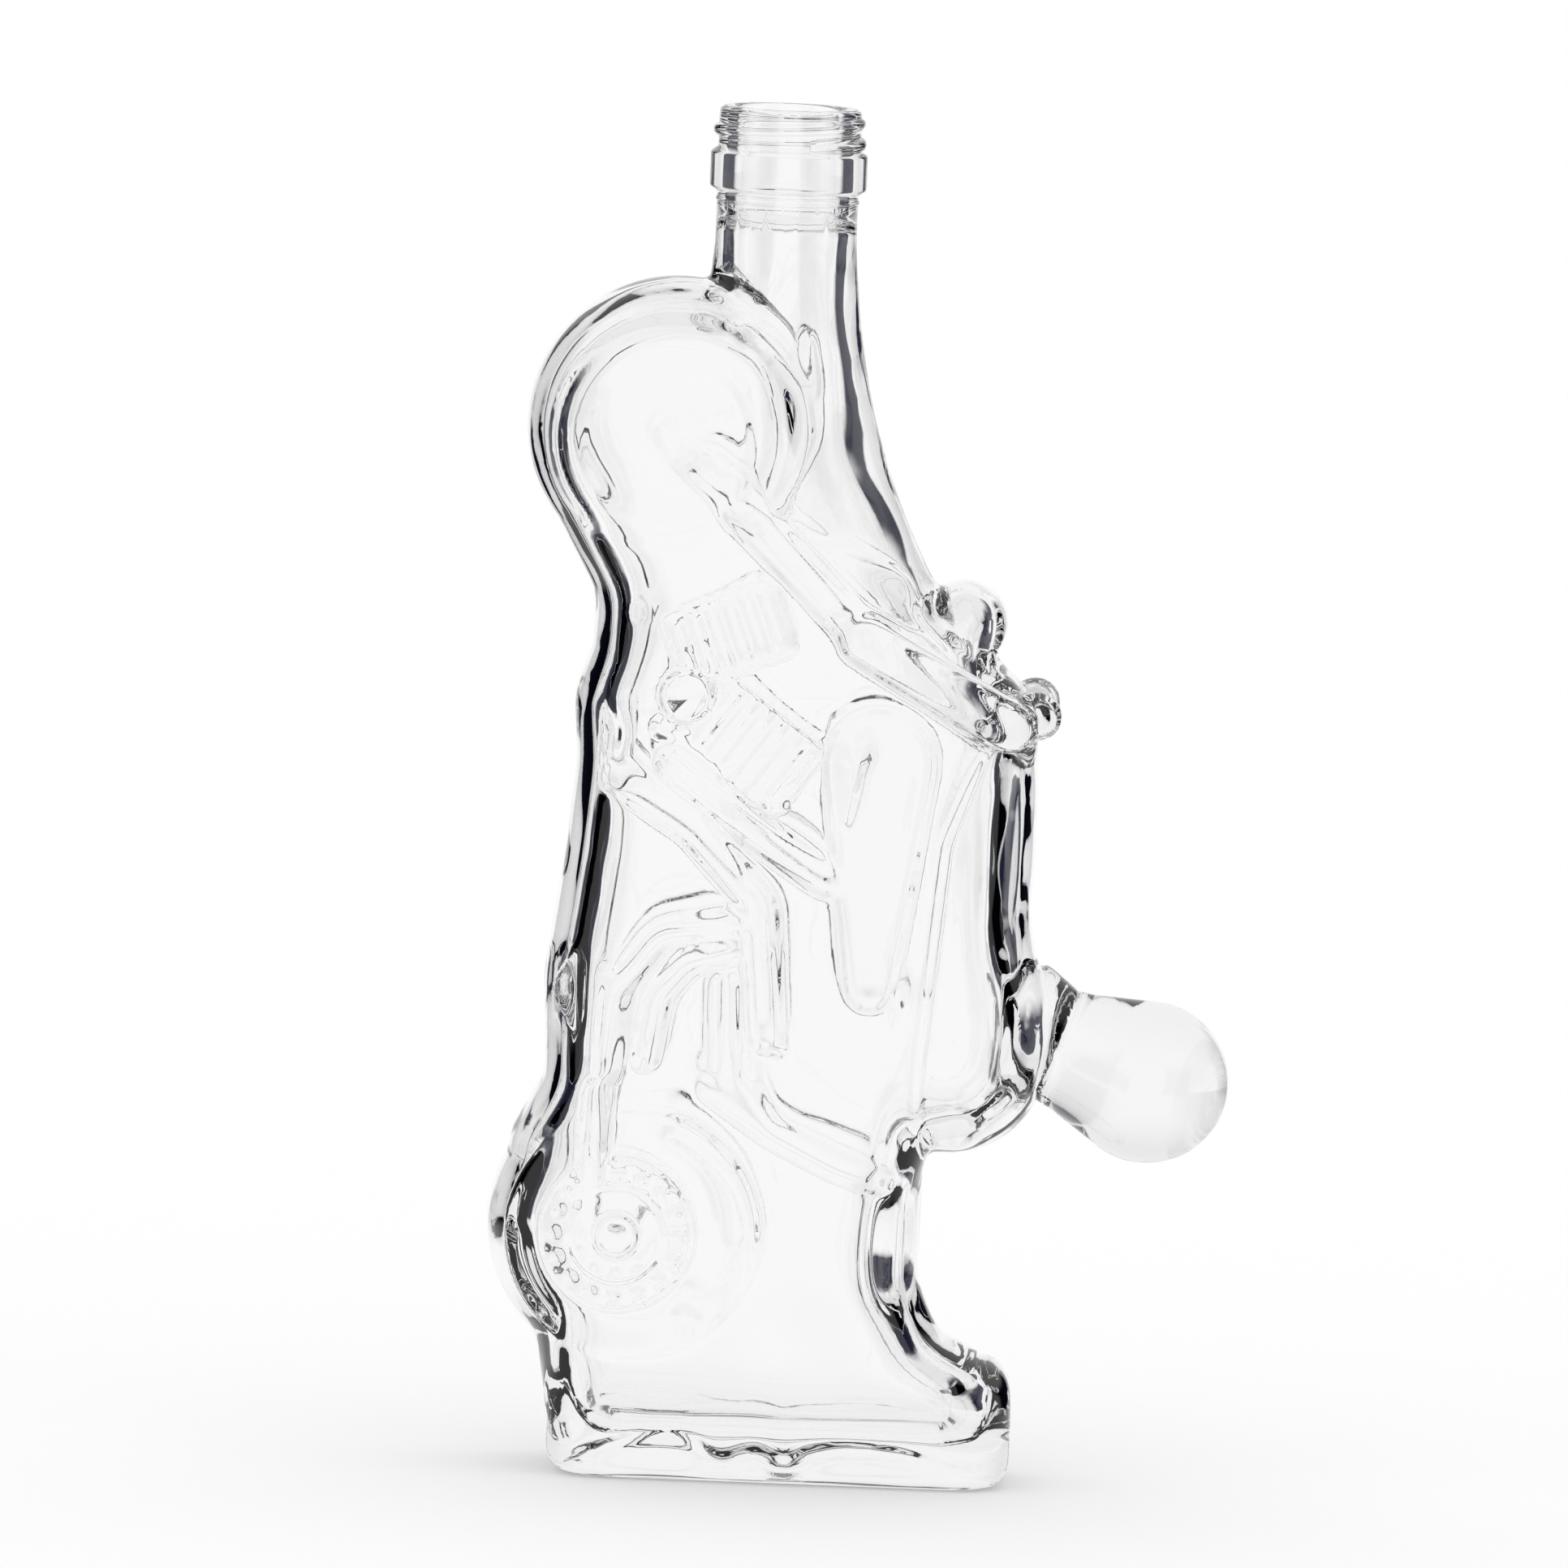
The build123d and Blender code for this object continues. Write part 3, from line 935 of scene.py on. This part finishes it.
@dataclass
class NeckFinish:
    """The mouth, thread and locking bead that the neck ring forms."""

    node: str = "neck_finish"
    bore_r: float = 9.4 * MM
    lip_r: float = 12.7 * MM
    neck_r: float = 12.6 * MM
    ring_r: float = 12.85 * MM
    bead_r: float = 14.0 * MM
    lip_round: float = 1.3 * MM
    bead_round: float = 0.6 * MM
    bead_depths: tuple[float, float, float, float] = (7.3 * MM, 8.6 * MM, 14.1 * MM, 15.3 * MM)
    ring_depths: Range = (16.0 * MM, 17.2 * MM)
    edge_turn_deg: float = 60.0
    foot: float = 19.0 * MM
    flare_end: float = 0.5 * MM
    crest_r: float = 13.7 * MM
    thread_r: float = 1.2 * MM
    thread_pitch: float = 3.8 * MM
    thread_top: float = 2.3 * MM
    thread_start_deg: float = -75.0
    thread_end_deg: float = 375.0
    thread_fade_deg: float = 42.0
    thread_end_share: float = 0.25
    thread_sink: float = 0.1 * MM
    thread_steps: int = 60

    def place(self) -> tuple[float, float]:
        """Finds the finish's axis and top from the CAD node's box."""
        low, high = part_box(self.node)
        return (low[0] + high[0]) / 2, high[2]

    def solid(self) -> bpy.types.Object:
        """Turns the finish as a full solid and winds the thread on it.

        Returns:
            The solid, without its bore.
        """
        axis_x, top = self.place()
        bead_top, bead_high, bead_low, bead_foot = self.bead_depths
        ring_top, ring_foot = self.ring_depths
        lip_middle = (self.lip_r - self.lip_round, self.lip_round)
        profile = [
            (0.0, 0.0),
            *arc(lip_middle, self.lip_round, -90.0, 0.0),
            (self.lip_r, bead_top),
            *arc((self.bead_r - self.bead_round, bead_high), self.bead_round, -self.edge_turn_deg, 0.0, 3),
            *arc((self.bead_r - self.bead_round, bead_low), self.bead_round, 0.0, self.edge_turn_deg, 3),
            (self.neck_r, bead_foot),
            (self.neck_r, ring_top),
            *arc(
                (self.neck_r, (ring_top + ring_foot) / 2),
                self.ring_r - self.neck_r,
                -self.edge_turn_deg,
                self.edge_turn_deg,
                4,
            ),
            (self.neck_r, ring_foot),
            (self.neck_r, self.foot),
            (0.0, self.foot),
        ]
        finish = lathe(profile, axis_x, top, "finish_solid")
        fuse(finish, self.thread(axis_x, top), Fusion.JOIN)
        return finish

    def thread(self, axis_x: float, top: float) -> bpy.types.Object:
        """Winds the thread, which fades in and out at its ends.

        Args:
            axis_x: The finish's axis.
            top: The height of its lip.

        Returns:
            The thread.
        """
        span = self.thread_end_deg - self.thread_start_deg
        points = []
        radii = []
        for step in range(self.thread_steps + 1):
            angle = self.thread_start_deg + span * step / self.thread_steps
            rest = min(angle - self.thread_start_deg, self.thread_end_deg - angle)
            full = math.sin(math.pi / 2 * min(1.0, rest / self.thread_fade_deg)) ** 0.5
            radius = self.thread_r * max(full, self.thread_end_share)
            reach = self.crest_r - radius - (self.crest_r - self.lip_r + self.thread_sink) * (1.0 - full)
            turn = math.radians(angle)
            height = top - self.thread_top - self.thread_pitch * (self.thread_end_deg - angle) / 360.0
            points.append(Vector((axis_x + reach * math.cos(turn), reach * math.sin(turn), height)))
            radii.append(radius)
        return rod(points, radii, "thread")

    def flare(self) -> bpy.types.Object:
        """Turns the flare where the mouth opens into the rounded lip.

        Returns:
            The solid to cut.
        """
        axis_x, top = self.place()
        flare = (self.bore_r + self.lip_round, self.lip_round)
        profile = [
            (0.0, -self.lip_round),
            (flare[0], -self.lip_round),
            *arc(flare, self.lip_round, 270.0, 180.0),
            (self.bore_r - self.flare_end, self.lip_round + self.flare_end),
            (0.0, self.lip_round + self.flare_end),
        ]
        return lathe(profile, axis_x, top, "flare")


@dataclass
class TailBall:
    """The solid ball of glass run onto the saddle's tail."""

    node: str = "tail_ball"
    sink: float = 1.6 * MM
    lean_deg: float = 20.1
    flat: float = 0.999

    def solid(self) -> bpy.types.Object:
        """Copies the ball and sinks its flat end into the body.

        Returns:
            The solid.
        """
        ball = merged_copy(self.node)
        lean = math.radians(self.lean_deg)
        axis = Vector((-math.cos(lean), 0.0, math.sin(lean)))
        select_faces(ball, lambda face: face.normal.dot(axis) > self.flat)
        bpy.ops.transform.translate(value=axis * self.sink)
        bpy.ops.object.mode_set(mode="OBJECT")
        return ball


@dataclass
class Bottle:
    """The whole bottle as one piece of glass."""

    shells: BodyShells = field(default_factory=BodyShells)
    relief: Relief = field(default_factory=Relief)
    finish: NeckFinish = field(default_factory=NeckFinish)
    ball: TailBall = field(default_factory=TailBall)
    glass: ClearGlass = field(default_factory=ClearGlass)
    sharp_deg: float = 60.0

    def build(self) -> bpy.types.Object:
        """Fuses the outside, finish and ball, hollows them, and dresses the glass.

        Returns:
            The glass.
        """
        joint_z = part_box(self.finish.node)[0][2]
        outer, inner = self.shells.split(joint_z)
        bottle = self.shells.outside(outer, self.relief.build(), joint_z)
        LOG.info("outside: %d triangles", triangles(bottle))
        hollow = self.shells.inside(inner, joint_z)
        LOG.info("inside: %d triangles", triangles(hollow))
        fuse(bottle, self.finish.solid(), Fusion.JOIN)
        fuse(bottle, self.ball.solid(), Fusion.JOIN)
        fuse(bottle, hollow, Fusion.CUT)
        fuse(bottle, self.finish.flare(), Fusion.CUT)
        bottle.name = "bottle_glass"
        activate(bottle)
        bpy.ops.object.shade_smooth_by_angle(angle=math.radians(self.sharp_deg))
        bottle.data.materials.clear()
        bottle.data.materials.append(self.glass.material())
        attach(bottle, "root")
        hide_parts(self.shells.node, self.finish.node, self.ball.node)
        LOG.info("%s: %d triangles", bottle.name, triangles(bottle))
        return bottle


@dataclass
class Studio:
    """The floor, the white surroundings and the dark cards that draw the glass's edges."""

    floor_side: float = 8.0
    card_tops: Range = (0.26, 0.50)
    sides: Range = (0.15, 0.75)
    sides_light: float = 0.84
    sky: Range = (0.10, 0.70)
    sky_light: float = 0.86
    cards: DarkCards = DarkCards()
    finish: PaleFloor = PaleFloor()

    def build(self) -> None:
        """Lays the floor and lights the world."""
        bpy.ops.object.select_all(action="DESELECT")
        bpy.ops.mesh.primitive_plane_add(size=self.floor_side, location=(0.0, 0.0, 0.0))
        floor = bpy.context.object
        floor.name = "floor"
        floor.data.materials.append(self.finish.material())
        self.light()

    def light(self) -> None:
        """Surrounds the bottle with white, and with dark cards that only light bent in glass sees."""
        world = bpy.data.worlds.new("studio")
        bpy.context.scene.world = world
        shader = Shader(world)
        direction = shader.node("ShaderNodeTexCoord", {}, {}).outputs["Generated"]
        axes = shader.node("ShaderNodeSeparateXYZ", {}, {0: direction})
        across = Maths(shader, axes.outputs["X"]).absolute()
        upright = Maths(shader, axes.outputs["Z"]).absolute()
        card = self.cards.share(shader, across) * (1 - upright.ramp(*self.card_tops))
        dim = across.ramp(*self.sides) * (1 - self.sides_light)
        dim = dim.highest(upright.ramp(*self.sky) * (1 - self.sky_light))
        background = shader.node(
            "ShaderNodeBackground",
            {},
            {
                "Color": shader.mix(card, WHITE, self.cards.colour),
                "Strength": 1 - self.cards.bent(shader) * dim,
            },
        )
        shader.node("ShaderNodeOutputWorld", {}, {"Surface": background.outputs["Background"]})


@dataclass
class PhotoCamera:
    """A long lens at the photograph's viewing angle."""

    aim_mm: tuple[float, float, float] = (-15.75, 0.0, 124.1)
    elevation_deg: float = 5.5
    lean_deg: float = 2.3
    distance: float = 3.5
    pixel_mm: float = 0.145
    sensor: float = 36.0

    def build(self) -> None:
        """Places the camera, turned by the bottle's lean in the photograph."""
        data = bpy.data.cameras.new("photo_camera")
        data.sensor_width = self.sensor
        data.lens = self.sensor * self.distance / (PHOTO_SIDE * self.pixel_mm * MM)
        data.clip_start = 0.1
        data.clip_end = 50.0
        camera = bpy.data.objects.new("photo_camera", data)
        bpy.context.scene.collection.objects.link(camera)
        rise = math.radians(self.elevation_deg)
        back = Vector((0.0, -math.cos(rise), math.sin(rise)))
        turn = back.to_track_quat("Z", "Y") @ Matrix.Rotation(
            math.radians(self.lean_deg), 4, "Z"
        ).to_quaternion()
        camera.rotation_mode = "QUATERNION"
        camera.rotation_quaternion = turn
        camera.location = Vector(self.aim_mm) * MM + back * self.distance
        bpy.context.scene.camera = camera


def main() -> None:
    """Builds the camera, the studio and the bottle."""
    logging.basicConfig(level=logging.INFO, format="%(name)s: %(message)s")
    bpy.context.scene.view_settings.view_transform = "Standard"
    PhotoCamera().build()
    Studio().build()
    Bottle().build()


if __name__ == "__main__":
    main()
